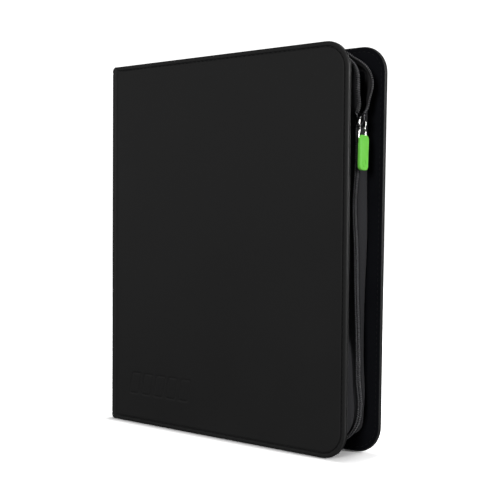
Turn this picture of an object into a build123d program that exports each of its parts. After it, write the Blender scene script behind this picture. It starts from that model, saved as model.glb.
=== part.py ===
"""Zip-around trading card binder: two stiff covers, a spine, twenty nine-pocket leaves and a coil zip.

Millimetres, +Z up. X runs from the spine to the fore-edge, Y from the front cover to the back cover.
The binder stands on its bottom edges with the zip closed up to the slider and open above it.
Shapes are drawn in a frame at the bottom spine corner of the front face, and every finished piece is
then moved so that the origin is the middle of the footprint.
"""
from build123d import *
import os

# Overall size
cover_width = 280.0
cover_height = 350.0
overall_thickness = 43.7
back_cover_shift = 8.0          # the closed binder leans, so its back cover stands further out
middle_y = overall_thickness / 2

# Covers
cover_thickness = 3.8
corner_radius = 24.0
skin_thickness = 0.8
lining_thickness = 0.8
board_gap = 0.1
hinge_line_x = 4.5              # crease between the spine and the front cover
hinge_half_gap = 0.3

# Stitched border of each cover
border_inset = 4.3
border_groove_width = 1.2
border_groove_depth = 0.35
stitch_length = 3.6
stitch_pitch = 5.0
stitch_width = 0.5
stitch_depth = 0.25

# Spine
spine_board_thickness = 2.2
spine_lining_thickness = 0.6
binding_depth = 7.4
binding_margin = 1.2

# Leaves
leaf_count = 20
leaf_pitch = 1.7
leaf_width = 245.0
leaf_height = 306.0
leaf_bottom = 22.0
leaf_root_x = 12.6
leaf_sheet_thickness = 0.35
pocket_film_thickness = 0.15
pocket_film_gap = 0.1
pocket_root_margin = 14.0
pocket_edge_margin = 2.0
leaf_corner_radius = 4.0

# Zip
zip_x = 275.0
zip_bottom = 11.0
zip_top = 340.0
zip_corner_radius = 24.0
zip_start_x = 20.0
tape_thickness = 0.8
coil_width = 2.7
coil_thickness = 3.0
coil_closed_offset = 1.55       # middle of the binder to the middle of one closed coil
coil_shoulder_offset = 4.2
coil_open_offset = 10.4
slider_z = 286.0
end_tab_length = 7.0
end_tab_width = 17.0
end_tab_thickness = 1.6

# Slider, measured from its own centre
slider_half_length = 6.5
slider_neck_z = -3.5
slider_shoulder_z = 5.5
slider_neck_half_width = 4.4
slider_shoulder_half_width = 6.95
slider_wall = 1.0
slider_channel_half_height = 1.75
slider_plate_thickness = 1.3
slider_slot_half_width = 0.7
bridge_half_width = 1.5
bridge_height = 4.3
bridge_window_height = 2.85
bridge_window_length = 3.6
bail_axis_x = 4.45
bail_axis_z = 1.5

# Pull
bail_wire_radius = 0.85
bail_half_width = 4.75
bail_bend_radius = 1.7
bail_end_z = -20.0
tab_top_z = -13.0
tab_length = 31.0
tab_width = 12.5
tab_thickness = 3.0
tab_corner_radius = 3.4
tab_edge_radius = 0.9


def shift_at(y):
    """How far the leaning binder is pushed along X at depth y."""
    return back_cover_shift * y / overall_thickness


def slab(outline, y_low, y_high):
    """Thicken an outline drawn in X and Z along Y."""
    return Pos(0, y_low, 0) * extrude(Plane.XZ * outline, amount=y_high - y_low, dir=(0, 1, 0))


def column(points, z_low, z_high):
    """Raise a polygon drawn in X and Y along Z."""
    outline = Polygon(*points, align=None)
    return Pos(0, 0, z_low) * extrude(outline, amount=z_high - z_low, dir=(0, 0, 1))


def side_band(points, x_low, x_high):
    """Push a polygon drawn in Y and Z along X."""
    outline = Plane.YZ * Polygon(*points, align=None)
    return Pos(x_low, 0, 0) * extrude(outline, amount=x_high - x_low, dir=(1, 0, 0))


def rounded_outline(x_low, x_high, z_low, z_high, fore_radius):
    """Rectangle in X and Z with its two corners at the fore-edge rounded."""
    sketch = Pos((x_low + x_high) / 2, (z_low + z_high) / 2) * Rectangle(x_high - x_low, z_high - z_low)
    return fillet(sketch.vertices().sort_by(Axis.X)[-2:], fore_radius)


def cover_outline(inset):
    """Outline of the front cover, from the crease to the fore-edge, drawn in by an inset."""
    return rounded_outline(
        hinge_line_x + hinge_half_gap + inset,
        cover_width - inset,
        inset,
        cover_height - inset,
        corner_radius - inset,
    )


def front_to_back(piece):
    """Turn a piece of the front cover into the same piece of the back cover."""
    flipped = mirror(piece, about=Plane.XZ)
    return Pos(back_cover_shift, overall_thickness, 0) * flipped


def open_ring(x_low, fore_x, z_low, z_high, radius, width):
    """Band along the top, the fore-edge and the bottom, open towards the spine."""
    half = width / 2
    outer = rounded_outline(x_low, fore_x + half, z_low - half, z_high + half, radius + half)
    inner = rounded_outline(x_low - width, fore_x - half, z_low + half, z_high - half, radius - half)
    return outer - inner


def cover_skin():
    """Outer covering of the front cover, turned round the edges of the board, with a sewing groove."""
    skin = slab(cover_outline(0), 0, cover_thickness)
    skin -= slab(cover_outline(skin_thickness), skin_thickness, cover_thickness + 1)
    groove = open_ring(
        hinge_line_x,
        cover_width - border_inset,
        border_inset,
        cover_height - border_inset,
        corner_radius - border_inset,
        border_groove_width,
    )
    return skin - slab(groove, -1, border_groove_depth)


def cover_board():
    """Grey board that stiffens the front cover."""
    inset = skin_thickness + board_gap
    return slab(cover_outline(inset), skin_thickness, cover_thickness - lining_thickness)


def cover_lining():
    """Inner lining glued over the board of the front cover."""
    inset = skin_thickness + board_gap
    return slab(cover_outline(inset), cover_thickness - lining_thickness, cover_thickness)


def run_centres(start, end):
    """Evenly spaced stitch centres along one straight seam."""
    count = int((end - start) // stitch_pitch)
    first = (start + end - (count - 1) * stitch_pitch) / 2
    return [first + index * stitch_pitch for index in range(count)]


def cover_stitching():
    """Stitches lying in the sewing groove of the front cover: top, fore-edge, bottom and two corners."""
    depth = (border_groove_depth - stitch_depth) + stitch_depth / 2
    across = Box(stitch_length, stitch_depth, stitch_width)
    upright = Box(stitch_width, stitch_depth, stitch_length)
    fore_x = cover_width - border_inset
    arc_x = cover_width - corner_radius
    stitches = []
    for x in run_centres(hinge_line_x + border_inset, arc_x):
        stitches.append(Pos(x, depth, border_inset) * across)
        stitches.append(Pos(x, depth, cover_height - border_inset) * across)
    for z in run_centres(corner_radius, cover_height - corner_radius):
        stitches.append(Pos(fore_x, depth, z) * upright)
    arc_radius = corner_radius - border_inset
    for angle in (15, 32, 49, 66, 83):
        for centre_z, turn in ((cover_height - corner_radius, -angle), (corner_radius, angle)):
            arm = Pos(arc_radius, 0, 0) * upright
            stitches.append(Pos(arc_x, depth, centre_z) * Rot(0, turn, 0) * arm)
    return Compound(children=stitches)


def coil_offset_points():
    """Height and distance from the middle of the binder of each bend of one coil's centre line."""
    return [
        (-5.0, coil_closed_offset),
        (slider_z - 3.0, coil_closed_offset),
        (slider_z + 7.0, coil_shoulder_offset),
        (slider_z + 24.0, coil_open_offset),
        (cover_height + 5.0, coil_open_offset),
    ]


def zip_ring(width):
    """Path of the zip round the three open sides, as a band of the given width."""
    return open_ring(zip_start_x, zip_x, zip_bottom, zip_top, zip_corner_radius, width)


def front_coil():
    """Front half of the zip's coil: closed up to the slider, parted from the other half above it."""
    near = [(middle_y - offset - coil_width / 2, z) for z, offset in coil_offset_points()]
    far = [(middle_y - offset + coil_width / 2, z) for z, offset in coil_offset_points()]
    band = side_band(near + far[::-1], 0, cover_width + back_cover_shift)
    return slab(zip_ring(coil_thickness), cover_thickness, middle_y) & band


def front_tape():
    """Front zip tape, sewn to the front cover and carrying the front coil on its free edge."""
    free_edge = [(middle_y - offset - coil_width / 2, z) for z, offset in coil_offset_points()]
    sewn_edge = [(cover_thickness, cover_height + 5.0), (cover_thickness, -5.0)]
    band = side_band(free_edge + sewn_edge, 0, cover_width + back_cover_shift)
    return slab(zip_ring(tape_thickness), cover_thickness, middle_y) & band


def zip_half_to_back(piece):
    """Mirror one half of the zip about the middle of the binder."""
    return Pos(0, overall_thickness, 0) * mirror(piece, about=Plane.XZ)


def spine_section(x_low, x_high, y_margin):
    """Leaning four-sided section of a spine layer."""
    y_low = y_margin
    y_high = overall_thickness - y_margin
    return [
        (x_low + shift_at(y_low), y_low),
        (x_high + shift_at(y_low), y_low),
        (x_high + shift_at(y_high), y_high),
        (x_low + shift_at(y_high), y_high),
    ]


def spine_skin():
    """Outer covering of the spine, turned towards both creases."""
    flange_x = hinge_line_x - hinge_half_gap
    inner_y = overall_thickness - skin_thickness
    section = [
        (0, 0),
        (flange_x, 0),
        (flange_x, skin_thickness),
        (skin_thickness + shift_at(skin_thickness), skin_thickness),
        (skin_thickness + shift_at(inner_y), inner_y),
        (flange_x + back_cover_shift, inner_y),
        (flange_x + back_cover_shift, overall_thickness),
        (back_cover_shift, overall_thickness),
    ]
    return column(section, 0, cover_height)


def spine_board():
    """Board that stiffens the spine."""
    section = spine_section(skin_thickness, skin_thickness + spine_board_thickness, 1.2)
    return column(section, 1.0, cover_height - 1.0)


def spine_lining():
    """Inner lining of the spine."""
    x_low = skin_thickness + spine_board_thickness
    section = spine_section(x_low, x_low + spine_lining_thickness, 1.2)
    return column(section, 1.0, cover_height - 1.0)


def leaf_y(index):
    """Depth of a leaf's middle, counted from the front cover."""
    return middle_y + (index - (leaf_count - 1) / 2) * leaf_pitch


def page_binding_strip():
    """Strip sewn to the spine lining that holds the root of every leaf."""
    x_low = skin_thickness + spine_board_thickness + spine_lining_thickness
    section = spine_section(x_low, x_low + binding_depth, leaf_y(0) - binding_margin)
    return column(section, leaf_bottom, leaf_bottom + leaf_height)


def zip_end_tabs():
    """Folded fabric tabs that close both ends of the zip at the spine."""
    tab = Box(end_tab_length, end_tab_width, end_tab_thickness)
    x = zip_start_x - end_tab_length / 2 - 0.5
    return Compound(children=[Pos(x, middle_y, z) * tab for z in (zip_bottom, zip_top)])


def leaf_outline(root_margin, edge_margin, index):
    """Outline of one leaf, or of its pocket film, in X and Z."""
    root_x = leaf_root_x + shift_at(leaf_y(index))
    return rounded_outline(
        root_x + root_margin,
        root_x + leaf_width - edge_margin,
        leaf_bottom + edge_margin,
        leaf_bottom + leaf_height - edge_margin,
        leaf_corner_radius,
    )


def leaf_sheet(index):
    """Opaque middle sheet of one leaf."""
    y = leaf_y(index)
    half = leaf_sheet_thickness / 2
    return slab(leaf_outline(0, 0, index), y - half, y + half)


def leaf_pockets(index):
    """Clear pocket films on both faces of one leaf."""
    outline = leaf_outline(pocket_root_margin, pocket_edge_margin, index)
    near = leaf_sheet_thickness / 2 + pocket_film_gap
    far = near + pocket_film_thickness
    y = leaf_y(index)
    return Compound(children=[slab(outline, y - far, y - near), slab(outline, y + near, y + far)])


def slider_outline(inset, end_reach):
    """Outline of the slider in Y and Z: a narrow neck below and wide shoulders above."""
    neck = slider_neck_half_width - inset
    shoulder = slider_shoulder_half_width - inset
    end = slider_half_length + end_reach
    right = [(neck, -end), (neck, slider_neck_z), (shoulder, slider_shoulder_z), (shoulder, end)]
    left = [(-y, z) for y, z in right]
    return right + left[::-1]


def slider_body():
    """Die-cast slider: two plates, side flanges, the post between the coils and the bridge."""
    channel = slider_channel_half_height
    outside = channel + slider_plate_thickness
    body = side_band(slider_outline(0, 0), -outside, outside)
    body -= side_band(slider_outline(slider_wall, 1), -channel, channel)
    slot = slider_slot_half_width
    body -= Box(2 * slot, 4 * slider_shoulder_half_width, 3 * slider_half_length)
    post = [(0, -0.5), (2.2, slider_half_length), (-2.2, slider_half_length)]
    body += side_band(post, -channel, channel)
    bridge = [
        (outside, -5.8),
        (outside + bridge_height - 1.2, -3.2),
        (outside + bridge_height, -1.6),
        (outside + bridge_height, 3.6),
        (outside + bridge_height - 1.2, 4.9),
        (outside, 5.6),
    ]
    arch = slab(Polygon(*bridge, align=None), -bridge_half_width, bridge_half_width)
    window = Box(bridge_window_height, 2 * bridge_half_width + 1, bridge_window_length)
    arch -= Pos(outside + bridge_window_height / 2, 0, bail_axis_z) * window
    return body + arch


def pull_bail():
    """Bent wire that hangs from the slider's bridge, with both legs held in the tab."""
    corners = [
        (bail_axis_x, -bail_half_width, bail_end_z),
        (bail_axis_x, -bail_half_width, bail_axis_z),
        (bail_axis_x, bail_half_width, bail_axis_z),
        (bail_axis_x, bail_half_width, bail_end_z),
    ]
    path = FilletPolyline(*corners, radius=bail_bend_radius)
    start = Plane(origin=path @ 0, z_dir=path % 0)
    return sweep(start * Circle(bail_wire_radius), path=path)


def pull_tab():
    """Moulded silicone tab round the ends of the bail."""
    centre_z = tab_top_z - tab_length / 2
    sketch = Pos(0, centre_z) * RectangleRounded(tab_width, tab_length, tab_corner_radius)
    tab = extrude(Plane.YZ * sketch, amount=tab_thickness, dir=(1, 0, 0))
    tab = Pos(bail_axis_x - tab_thickness / 2, 0, 0) * tab
    long_edges = tab.faces().sort_by(Axis.X)[0].edges() + tab.faces().sort_by(Axis.X)[-1].edges()
    tab = fillet(long_edges, tab_edge_radius)
    return tab - pull_bail()


def at_slider(piece):
    """Move a piece from the slider's own centre to the slider's place on the zip."""
    return Pos(zip_x, middle_y, slider_z) * piece


def cover_pieces():
    """Every piece of both covers and of the zip halves sewn to them."""
    pieces = {}
    for name, make in (
        ("cover_skin", cover_skin),
        ("cover_board", cover_board),
        ("cover_lining", cover_lining),
        ("cover_stitching", cover_stitching),
    ):
        front = make()
        pieces["front_" + name] = front
        pieces["back_" + name] = front_to_back(front)
    for name, make in (("zip_tape", front_tape), ("zip_coil", front_coil)):
        front = make()
        pieces["front_" + name] = front
        pieces["back_" + name] = zip_half_to_back(front)
    return pieces


def all_pieces():
    """Node name and solid of every piece of the binder."""
    pieces = cover_pieces()
    pieces["spine_skin"] = spine_skin()
    pieces["spine_board"] = spine_board()
    pieces["spine_lining"] = spine_lining()
    pieces["page_binding_strip"] = page_binding_strip()
    pieces["zip_end_tabs"] = zip_end_tabs()
    pieces["slider_body"] = at_slider(slider_body())
    pieces["pull_bail"] = at_slider(pull_bail())
    pieces["pull_tab"] = at_slider(pull_tab())
    for index in range(leaf_count):
        pieces[f"page_{index + 1:02d}_sheet"] = leaf_sheet(index)
        pieces[f"page_{index + 1:02d}_pockets"] = leaf_pockets(index)
    return pieces


os.makedirs("parts", exist_ok=True)
to_origin = Pos(-(cover_width + back_cover_shift) / 2, -middle_y, 0)
for node, piece in all_pieces().items():
    export_step(to_origin * piece, f"parts/{node}.step")
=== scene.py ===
"""Looks of a zip-around trading card binder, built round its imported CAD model.

Shapes are drawn in millimetres from the bottom spine corner of the front face: x runs to the
fore-edge, y to the back cover and z up. to_row() puts them in the row frame, in metres.
"""

import math

import bpy
import numpy as np
from mathutils import Matrix, Vector


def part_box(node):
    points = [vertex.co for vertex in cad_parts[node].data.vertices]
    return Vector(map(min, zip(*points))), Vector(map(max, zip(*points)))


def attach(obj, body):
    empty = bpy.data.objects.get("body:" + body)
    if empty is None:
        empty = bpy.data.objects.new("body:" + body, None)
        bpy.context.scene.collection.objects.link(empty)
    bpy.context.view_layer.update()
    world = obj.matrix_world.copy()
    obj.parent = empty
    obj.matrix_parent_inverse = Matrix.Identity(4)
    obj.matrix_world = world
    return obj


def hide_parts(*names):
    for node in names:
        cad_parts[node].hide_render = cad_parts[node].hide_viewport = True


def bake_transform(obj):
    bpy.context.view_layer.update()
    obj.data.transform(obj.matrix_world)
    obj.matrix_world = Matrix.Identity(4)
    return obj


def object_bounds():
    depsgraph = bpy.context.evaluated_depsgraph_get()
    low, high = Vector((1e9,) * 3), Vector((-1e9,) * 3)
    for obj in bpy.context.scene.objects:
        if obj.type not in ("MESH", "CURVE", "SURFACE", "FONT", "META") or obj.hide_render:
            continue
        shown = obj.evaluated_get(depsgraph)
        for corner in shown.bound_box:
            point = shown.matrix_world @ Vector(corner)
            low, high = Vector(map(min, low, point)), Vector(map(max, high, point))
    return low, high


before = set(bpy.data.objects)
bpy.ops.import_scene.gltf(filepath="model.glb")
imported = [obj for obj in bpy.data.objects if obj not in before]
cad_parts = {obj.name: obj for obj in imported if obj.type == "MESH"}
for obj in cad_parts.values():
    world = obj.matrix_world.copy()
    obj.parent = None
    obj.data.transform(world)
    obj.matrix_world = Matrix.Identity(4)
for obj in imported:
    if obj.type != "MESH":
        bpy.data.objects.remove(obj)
cad_low, cad_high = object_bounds()

MM = 0.001
FRONT_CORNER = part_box("front_cover_skin")[0]
CORNER = np.array([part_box("spine_skin")[0].x, FRONT_CORNER.y, FRONT_CORNER.z])


def box_mm(node_name):
    """Lowest and highest corner of a CAD node, in millimetres from the corner."""
    low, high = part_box(node_name)
    return (np.array(low) - CORNER) / MM, (np.array(high) - CORNER) / MM


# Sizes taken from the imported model
FRONT_LOW, FRONT_HIGH = box_mm("front_cover_skin")
BACK_HIGH = box_mm("back_cover_skin")[1]
COIL_LOW, COIL_HIGH = box_mm("front_zip_coil")
SLIDER_LOW, SLIDER_HIGH = box_mm("slider_body")
TAB_LOW, TAB_HIGH = box_mm("pull_tab")
BAIL_LOW, BAIL_HIGH = box_mm("pull_bail")
WIDTH = FRONT_HIGH[0]
HEIGHT = FRONT_HIGH[2]
DEPTH = BACK_HIGH[1]
LEAN = BACK_HIGH[0] - FRONT_HIGH[0]
COVER_THICKNESS = FRONT_HIGH[1]
CREASE_X = FRONT_LOW[0]
MIDDLE_Y = DEPTH / 2
COIL_HALF_THICKNESS = 1.5
ZIP_X = COIL_HIGH[0] - COIL_HALF_THICKNESS
ZIP_BOTTOM = COIL_LOW[2] + COIL_HALF_THICKNESS
ZIP_TOP = COIL_HIGH[2] - COIL_HALF_THICKNESS
ZIP_START = COIL_LOW[0]

# Covers
CORNER_RADIUS = 24.0
CORNER_X = WIDTH - CORNER_RADIUS
CORNER_STEPS = 11               # points round each corner, between its two ends
PANEL_X = CREASE_X + 3.0
SKIN = 0.8
SPLAY = 4.2                     # how far the back cover's upper fore corner stands off
EDGE_PROFILE = (                # (inset, depth) from the border groove to the edge
    (6.4, 0.0), (5.4, 0.0), (5.0, 0.15), (4.7, 0.75), (3.9, 0.75), (3.6, 0.15), (3.2, 0.0),
    (1.9, 0.0), (1.2, 0.05), (0.7, 0.2), (0.3, 0.5), (0.07, 0.95), (0.0, 1.4),
)
PINCH_PROFILE = ((0.06, 1.5), (0.5, 1.6), (0.62, 1.97), (0.5, 2.34), (0.06, 2.44))
RIM_PROFILE = ((0.0, 2.5), (0.06, 3.0), (0.24, 3.45), (0.52, 3.72), (0.8, 3.8), (0.95, 3.7), (1.0, 3.3))
BORDER_INSET = 4.3
GROOVE_DEPTH = 0.76             # how deep the border's groove runs into the crease
STITCH_LENGTH = 3.9
STITCH_PITCH = 5.0
THREAD_RADIUS = 0.24
MARK_LOW_X, MARK_HIGH_X = 24.0, 106.0
MARK_LOW_Z, MARK_HIGH_Z = 25.0, 53.0
MARK_DEPTH = 0.28
FINE_STEP = 0.62                # grid step under the pressed mark

# Spine
SPINE_BELLY = 2.8               # how far the spine's skin stands off its board
SPINE_RADIUS = 2.3
SPINE_EDGE_X = 2.4              # where the spine's skin meets the front crease

# Zip
ZIP_RADIUS = 24.0
ZIP_LOW = ZIP_BOTTOM + ZIP_RADIUS       # the fore-edge's straight run, and where its corners turn
ZIP_HIGH = ZIP_TOP - ZIP_RADIUS
ZIP_CORNER_X = ZIP_X - ZIP_RADIUS
SEAM_INSET = 18.0
COIL_PITCH = 1.8
COIL_WIRE = 0.4
COIL_HALF_WIDTH = 1.4
COIL_HALF_HEIGHT = 0.62
CLOSED_OFFSET = 1.62
TAPE_THICKNESS = 0.5
TAPE_SHORT = 1.1                # how far short of the coil's middle line the tape ends
FLANGE = 3.0                    # how far the tape runs on under the lining's seam
WAIST = (212, 27)               # height and width of the closed zip's inward bend
FOOT = (44, 15)                 # the same for its outward bend near the foot
LOW_RUN = (165, 75)             # heights between which the closed zip's lower part swings out
SLIDER_SAG = 0.8                # how far the slider and the tab hang below their CAD places
SLIDER_Z = (SLIDER_LOW[2] + SLIDER_HIGH[2]) / 2 - SLIDER_SAG
SLIDER_CENTRE = np.array([ZIP_X, MIDDLE_Y, SLIDER_Z])
BAIL_WIRE = 0.85
BAIL_X = (BAIL_LOW[0] + BAIL_HIGH[0]) / 2
BAIL_TOP = BAIL_HIGH[2] - BAIL_WIRE
PULL_LEAN = math.radians(1.2)

SLIDER_HALF_HEIGHT = 6.5
WALL_X = 1.25                   # middle of the slider's side walls, above and below the tape slot
TAB_CORNER = 3.6
TAB_SHIFT = np.array([0.7, 1.0, 0])     # the tab hangs a little off the bail's middle
TAB_FACE = 1.22                 # level of the shallow field on the tab's faces

# Leaves
LEAF_COUNT = 20
POCKETS = 3                     # pockets across a leaf, and up it
WELD = 3.0

ALONG_X, ALONG_Y, ALONG_Z = np.eye(3)


def to_row(points):
    """Millimetres from the corner to metres in the row frame."""
    return np.asarray(points, float) * MM + CORNER


def smooth(value, low, high):
    """Smooth step from 0 at low to 1 at high."""
    t = np.clip((np.asarray(value, float) - low) / (high - low), 0, 1)
    return t * t * (3 - 2 * t)


def bump_at(value, centre, width):
    """Bell curve of height 1."""
    return np.exp(-(((np.asarray(value, float) - centre) / width) ** 2))


def unit(vectors):
    """Vectors scaled to length 1."""
    return vectors / np.maximum(np.linalg.norm(vectors, axis=-1, keepdims=True), 1e-12)


def side_by_side(*values):
    """Arrays and numbers as the columns of one array."""
    return np.stack(np.broadcast_arrays(*values), axis=-1).astype(float)


def lengths_along(path):
    """Length along a path at each of its points."""
    return np.concatenate([[0], np.cumsum(np.linalg.norm(np.diff(path, axis=0), axis=1))])


def points_at(path, at, wanted):
    """Points of a path at the wanted lengths, where at holds the length at each of its points."""
    return side_by_side(*[np.interp(wanted, at, values) for values in path.T])


def lines(*stops):
    """Positions from (value, step) stops: each span is divided into about equal steps."""
    out = [stops[0][0]]
    for (low, step), (high, _) in zip(stops[:-1], stops[1:]):
        parts = max(1, round((high - low) / step))
        out.extend(np.linspace(low, high, parts + 1)[1:])
    return np.array(out)


# ---------------------------------------------------------------- meshes


def add_mesh(name, points, faces, materials, sharp=40, face_materials=None, weave=None, marks=None):
    """New mesh object from points in millimetres. marks holds point values by name for the materials."""
    mesh = bpy.data.meshes.new(name)
    mesh.from_pydata([tuple(p) for p in to_row(points)], [], [tuple(f) for f in faces])
    for material in materials:
        mesh.materials.append(material)
    if face_materials is not None:
        mesh.polygons.foreach_set("material_index", np.asarray(face_materials, np.int32))
    if weave is not None:
        layer = mesh.attributes.new("weave", "FLOAT_VECTOR", "POINT")
        layer.data.foreach_set("vector", np.asarray(weave, np.float32).ravel())
    for mark, values in (marks or {}).items():
        layer = mesh.attributes.new(mark, "FLOAT", "POINT")
        layer.data.foreach_set("value", np.asarray(values, np.float32))
    mesh.validate()
    mesh.shade_smooth()
    mesh.set_sharp_from_angle(angle=math.radians(sharp))
    made = bpy.data.objects.new(name, mesh)
    bpy.context.scene.collection.objects.link(made)
    return made


def add_piece(name, slot, body, stands_for, points, faces, material=None, **looks):
    """New mesh object with its slot's material, or the material given, which rides on a body and may stand
    for a CAD node.
    """
    made = add_mesh(name, points, faces, [MATERIALS[material or slot]], **looks)
    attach(made, body)
    if stands_for:
        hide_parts(stands_for)
    return made


class Parts:
    """Points and faces of several shapes gathered into one mesh."""

    def __init__(self):
        self.points = []
        self.faces = []
        self.count = 0

    def add(self, points, faces):
        """One more shape."""
        self.points.append(points)
        self.faces.extend(shifted(faces, self.count))
        self.count += len(points)

    def all_points(self):
        """Points of every shape."""
        return np.concatenate(self.points)


def flipped(faces):
    """Faces turned to look the other way."""
    return [face[::-1] for face in faces]


def shifted(faces, count):
    """Faces whose points stand a count further on."""
    return [[i + count for i in face] for face in faces]


def grid_faces(rows, columns, wrap=False):
    """Quads of a grid of points stored row by row."""
    faces = []
    last = columns if wrap else columns - 1
    for row in range(rows - 1):
        for column in range(last):
            right = (column + 1) % columns
            low = row * columns
            high = low + columns
            faces.append([low + column, low + right, high + right, high + column])
    return faces


def tube_faces(rows, columns):
    """Faces of a closed tube stored ring by ring: its sides and both end caps."""
    faces = grid_faces(rows, columns, wrap=True)
    faces.append(list(range(columns))[::-1])
    faces.append([(rows - 1) * columns + i for i in range(columns)])
    return faces


def sweep(path, side, up, section):
    """Section (u, v) carried along a path, where side and up are one vector or one for each point."""
    path, section = np.asarray(path, float), np.asarray(section, float)
    side, up = (np.broadcast_to(np.asarray(a, float), path.shape) for a in (side, up))
    points = (
        path[:, None, :]
        + section[None, :, 0:1] * side[:, None, :]
        + section[None, :, 1:2] * up[:, None, :]
    )
    return points.reshape(-1, 3), tube_faces(*points.shape[:2])


def circle(radius, sides):
    """Points of a round section."""
    angles = np.arange(sides) * 2 * math.pi / sides
    return np.stack([radius * np.cos(angles), radius * np.sin(angles)], axis=1)


def tube(path, radius, sides, hint):
    """Round tube along a path, with its section's up as near to the hint as can be."""
    path = np.asarray(path, float)
    along = unit(np.gradient(path, axis=0))
    side = unit(np.cross(along, np.asarray(hint, float)))
    return sweep(path, side, np.cross(side, along), circle(radius, sides))


def ring_solid(outline, profile):
    """Closed solid from rings: profile holds (inset, height), and outline(inset) gives the ring in 2-D."""
    rings = [side_by_side(*outline(inset).T, height) for inset, height in profile]
    return np.concatenate(rings), tube_faces(len(rings), len(rings[0]))


# ---------------------------------------------------------------- materials


def shader_of(made):
    """Principled shader of a material."""
    return made.node_tree.nodes["Principled BSDF"]


def new_material(name, **values):
    """Principled material; the values are set on the shader's own sockets."""
    made = bpy.data.materials.new(name)
    made.use_nodes = True
    for socket, value in values.items():
        shader_of(made).inputs[socket.replace("_", " ")].default_value = value
    return made


def node(made, kind, **values):
    """New node. A lower-case name is a setting of the node, and any other an input (i0 is the first).

    An input is linked when its value is a socket.
    """
    added = made.node_tree.nodes.new(kind)
    for key, value in values.items():
        if hasattr(added, key) and key.islower():
            setattr(added, key, value)
            continue
        socket = added.inputs[int(key[1:])] if key[1:].isdigit() else added.inputs[key.replace("_", " ")]
        if isinstance(value, bpy.types.NodeSocket):
            made.node_tree.links.new(value, socket)
        else:
            socket.default_value = value
    return added


def link(made, output, socket):
    """Join an output to one of the shader's sockets."""
    made.node_tree.links.new(output, shader_of(made).inputs[socket])


def place(made):
    """Position in metres."""
    return node(made, "ShaderNodeTexCoord").outputs["Object"]


def attribute(made, name, output="Fac"):
    """Value that the mesh carries at each point."""
    return node(made, "ShaderNodeAttribute", attribute_name=name).outputs[output]


def noise(made, scale, detail=2.0, vector=None):
    """Soft random pattern."""
    vector = vector or place(made)
    return node(made, "ShaderNodeTexNoise", Vector=vector, Scale=scale, Detail=detail).outputs["Fac"]


def bands(made, scale, direction):
    """Even bands square to an axis."""
    added = node(made, "ShaderNodeTexWave", Vector=place(made), Scale=scale, bands_direction=direction)
    return added.outputs["Fac"]


def maths(made, operation, first, second=0.0):
    """Result of one sum."""
    return node(made, "ShaderNodeMath", operation=operation, i0=first, i1=second).outputs[0]


def plus(made, first, second, share=1.0):
    """First value plus a share of the second."""
    return maths(made, "ADD", first, maths(made, "MULTIPLY", second, share))


def spread(made, value, low, high, to_low, to_high):
    """Value mapped from one range to another."""
    ends = {"From_Min": low, "From_Max": high, "To_Min": to_low, "To_Max": to_high}
    return node(made, "ShaderNodeMapRange", Value=value, **ends).outputs[0]


def ramp(made, factor, dark, light):
    """Colour ramp that goes from dark to light with a factor."""
    added = node(made, "ShaderNodeValToRGB", Fac=factor)
    added.color_ramp.elements[0].color = (*dark, 1)
    added.color_ramp.elements[1].color = (*light, 1)
    return added


def tint(made, factor, dark, light):
    """Base colour that goes from dark to light with a factor."""
    link(made, ramp(made, factor, dark, light).outputs["Color"], "Base Color")


def relief(made, height, distance, strength):
    """Bump from a height, where distance is its depth in metres."""
    bump = node(made, "ShaderNodeBump", Height=height, Distance=distance, Strength=strength)
    link(made, bump.outputs["Normal"], "Normal")


def leatherette():
    """Matte black coated fabric with a very fine pebble, rubbed smooth where its edges are marked and
    lightened there by a painted highlight.
    """
    made = new_material("cover_leatherette", Specular_IOR_Level=0.34)
    pebble = node(
        made, "ShaderNodeTexVoronoi", feature="SMOOTH_F1", Vector=place(made), Scale=1150.0, Smoothness=0.6
    ).outputs["Distance"]
    relief(made, plus(made, pebble, noise(made, 2600.0, 3.0), 0.35), 0.00006, 0.6)
    cloud = noise(made, 9.0, 3.0)
    polished_and_highlit = attribute(made, "polish_and_painted_highlight")
    # Painted highlight: the edge marks lighten the colour along the cover's rims; below, they also lower the
    # roughness.
    shade = plus(made, spread(made, cloud, 0.3, 0.7, 0.02, 0.12), polished_and_highlit, 0.28)
    tint(made, shade, (0.008, 0.008, 0.0081), (0.05, 0.05, 0.051))
    link(made, plus(made, spread(made, cloud, 0.3, 0.7, 0.54, 0.66), polished_and_highlit, -0.2), "Roughness")
    return made


def lining():
    """Black lining with a faint blue cast and a fine woven surface."""
    made = new_material("inner_lining", Roughness=0.9, Specular_IOR_Level=0.12, Sheen_Weight=0.02)
    relief(made, maths(made, "MAXIMUM", bands(made, 520.0, "Z"), bands(made, 520.0, "X")), 0.00005, 0.7)
    tint(made, noise(made, 30.0, 4.0), (0.0026, 0.0029, 0.0044), (0.0062, 0.0068, 0.0092))
    return made


def thread():
    """Twisted sewing thread."""
    made = new_material("black_thread", Roughness=0.6, Specular_IOR_Level=0.2, Sheen_Weight=0.03)
    twist = bands(made, 900.0, "DIAGONAL")
    relief(made, twist, 0.00006, 0.8)
    tint(made, twist, (0.004, 0.004, 0.0044), (0.010, 0.010, 0.011))
    return made


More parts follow.
